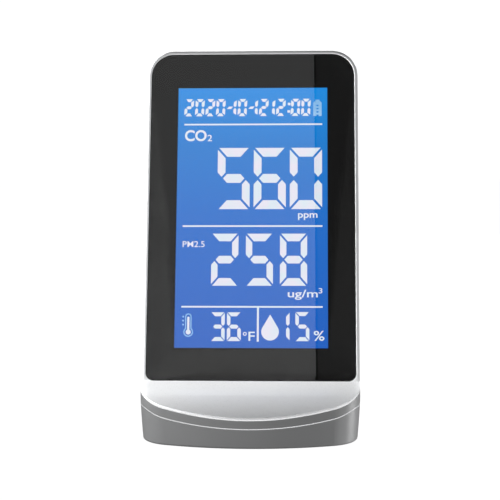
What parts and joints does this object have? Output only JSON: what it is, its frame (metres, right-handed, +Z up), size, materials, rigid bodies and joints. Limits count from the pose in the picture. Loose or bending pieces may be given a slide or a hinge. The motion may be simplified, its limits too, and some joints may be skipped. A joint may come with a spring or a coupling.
{
  "type": "air quality monitor",
  "caption": "Desk air quality monitor: a slim display slab leaning back on a hollow foot, with gas, dust and climate sensors, rear keys and a rechargeable cell.",
  "frame": {"origin": "centre of the resting face, where the rubber feet touch the desk", "axes": "+Z up, -Y out of the front (display side), +X to the right seen from the front"},
  "size_m": [0.08, 0.0766, 0.1422],
  "materials": {
    "front_white": "satin moulded shell, white",
    "rear_grey": "fine satin moulded shell, mid grey",
    "base_grey": "fine satin moulded tub, mid grey",
    "window_lens": "clear glossy acrylic lens over a black print",
    "window_print": "opaque black print",
    "black_tape": "double-sided tape",
    "foam_gasket": "closed-cell foam",
    "lcd_glass": "blue negative display glass",
    "diffuser_white": "white film",
    "light_guide": "clear moulded light guide",
    "led_strip": "white LEDs on a flexible strip",
    "black_plastic": "moulded black plastic",
    "orange_flex": "polyimide ribbon",
    "green_board": "solder-masked board",
    "blue_board": "solder-masked board",
    "gold_plate": "gold-plated moulding",
    "white_membrane": "white filter membrane",
    "can_aluminium": "sleeved can",
    "laser_brass": "machined",
    "steel": "plated",
    "button_grey": "fine satin moulded key cap",
    "plunger_plastic": "natural moulded plastic",
    "battery_sleeve": "shrink sleeve",
    "cradle_plastic": "moulded plastic",
    "red_wire": "insulated wire",
    "black_wire": "insulated wire",
    "vent_fabric": "fine woven dust mesh",
    "foot_rubber": "matte soft rubber"
  },
  "bodies": {
    "housing": {"front_shell": "front_white", "rear_shell": "rear_grey", "base_tub": "base_grey", "display_window": "window_lens", "window_mask": "window_print", "window_tape": "black_tape", "lcd_gasket": "foam_gasket", "pm_inlet_foam": "foam_gasket", "lcd_front_glass": "lcd_glass", "lcd_rear_glass": "lcd_glass", "backlight_diffuser": "diffuser_white", "lcd_reflector": "diffuser_white", "lcd_light_guide": "light_guide", "backlight_led_strip": "led_strip", "lcd_holder": "black_plastic", "buzzer": "black_plastic", "board_chips": "black_plastic", "switch_housings": "black_plastic", "usb_tongue": "black_plastic", "pm_sensor_case": "black_plastic", "pm_sensor_lid": "black_plastic", "climate_sensor": "black_plastic", "lcd_ribbon": "orange_flex", "main_board": "green_board", "pm_sensor_board": "green_board", "button_board": "green_board", "power_board": "green_board", "climate_board": "green_board", "co2_sensor_board": "blue_board", "co2_optical_chamber": "gold_plate", "co2_membrane": "white_membrane", "board_capacitors": "can_aluminium", "pm_laser_module": "laser_brass", "pm_fan_bearing": "steel", "usb_socket": "steel", "battery_tabs": "steel", "base_screws": "steel", "shell_screws": "steel", "board_screws": "steel", "battery_cell": "battery_sleeve", "battery_cradle": "cradle_plastic", "battery_lead_red": "red_wire", "battery_lead_black": "black_wire", "power_cable": "black_wire", "sensor_cable": "black_wire", "vent_mesh": "vent_fabric", "rubber_foot_front_left": "foot_rubber", "rubber_foot_front_right": "foot_rubber", "rubber_foot_rear_left": "foot_rubber", "rubber_foot_rear_right": "foot_rubber"},
    "fan_rotor": {"pm_fan_rotor": "black_plastic"},
    "power_key": {"power_button": "button_grey", "power_switch_plunger": "plunger_plastic"},
    "set_key": {"set_button": "button_grey", "set_switch_plunger": "plunger_plastic"},
    "up_key": {"up_button": "button_grey", "up_switch_plunger": "plunger_plastic"},
    "down_key": {"down_button": "button_grey", "down_switch_plunger": "plunger_plastic"}
  },
  "joints": [
    {"name": "power_press", "type": "slide", "parent": "housing", "child": "power_key", "axis": [0, -0.9795, 0.2013], "range_m": [0, 0.00035], "stiffness_N_per_m": 1500, "springref_m": -0.0004},
    {"name": "set_press", "type": "slide", "parent": "housing", "child": "set_key", "axis": [0, -0.9795, 0.2013], "range_m": [0, 0.00035], "stiffness_N_per_m": 1500, "springref_m": -0.0004},
    {"name": "up_press", "type": "slide", "parent": "housing", "child": "up_key", "axis": [0, -0.9795, 0.2013], "range_m": [0, 0.00035], "stiffness_N_per_m": 1500, "springref_m": -0.0004},
    {"name": "down_press", "type": "slide", "parent": "housing", "child": "down_key", "axis": [0, -0.9795, 0.2013], "range_m": [0, 0.00035], "stiffness_N_per_m": 1500, "springref_m": -0.0004},
    {"name": "fan_spin", "type": "hinge", "parent": "housing", "child": "fan_rotor", "pos_m": [0.009, 0.01021, 0.04468], "axis": [0, -0.9659, 0.2588], "continuous": true}
  ]
}
